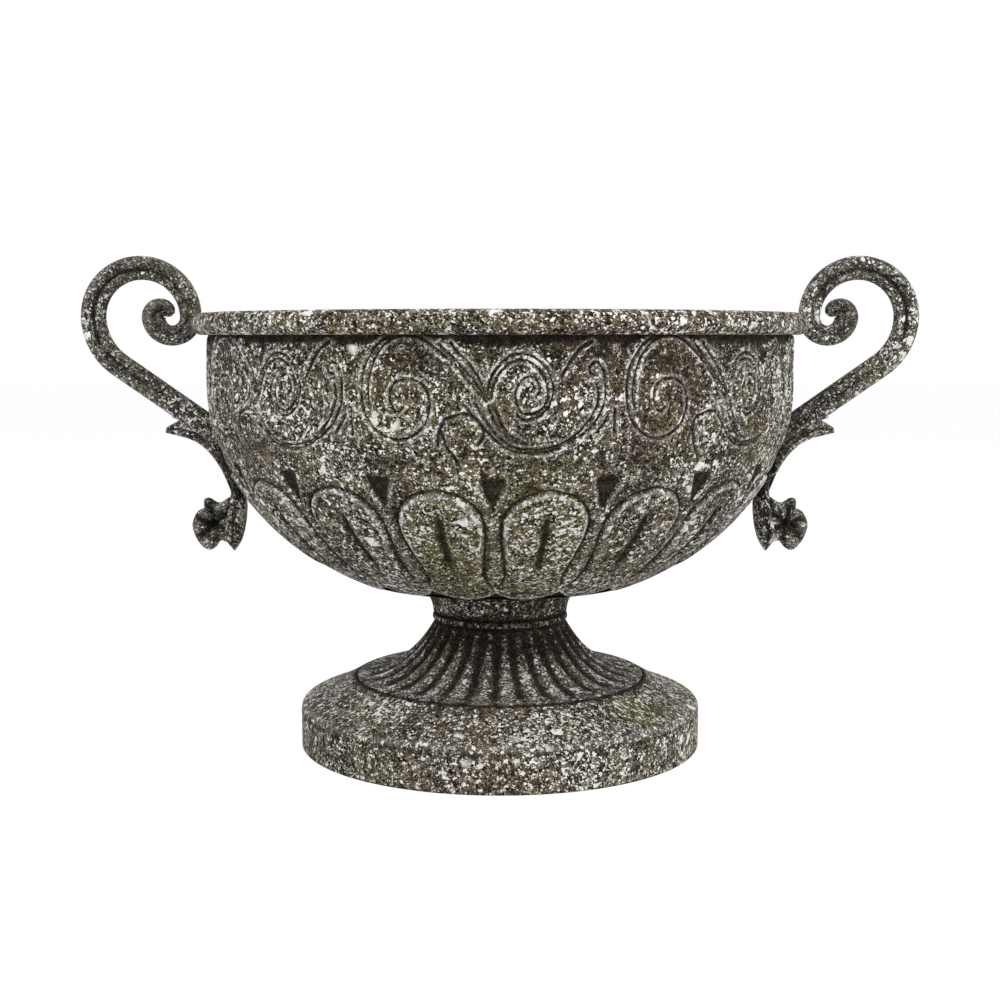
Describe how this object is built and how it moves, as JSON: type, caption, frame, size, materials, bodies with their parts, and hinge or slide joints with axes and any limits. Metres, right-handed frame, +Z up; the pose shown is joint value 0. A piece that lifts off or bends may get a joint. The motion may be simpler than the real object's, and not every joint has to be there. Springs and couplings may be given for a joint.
{
  "type": "plant pot",
  "caption": "Round two-handled iron plant pot: open bowl with rolled rim and tongues, scroll handles, fluted foot and round plinth.",
  "frame": {"origin": "centre of the plinth's underside, on the ground", "axes": "+Z up along the pot's axis, +X towards the right handle, -Y towards the front"},
  "size_m": [0.441, 0.3198, 0.2589],
  "materials": {
    "weathered_iron": "old dark paint, chipped and mossy",
    "handle_iron": "old dark paint, chipped",
    "rusty_steel": "rusted"
  },
  "bodies": {
    "root": {"bowl": "weathered_iron", "neck": "weathered_iron", "fluted_foot": "weathered_iron", "plinth": "weathered_iron", "left_handle": "handle_iron", "right_handle": "handle_iron", "tie_bolt": "rusty_steel", "tie_bolt_washer": "rusty_steel", "cross_bar": "rusty_steel", "cross_bar_washer": "rusty_steel", "tie_nut": "rusty_steel", "rim_screws": "rusty_steel", "strap_screws": "rusty_steel", "screw_washers": "rusty_steel"}
  },
  "joints": []
}
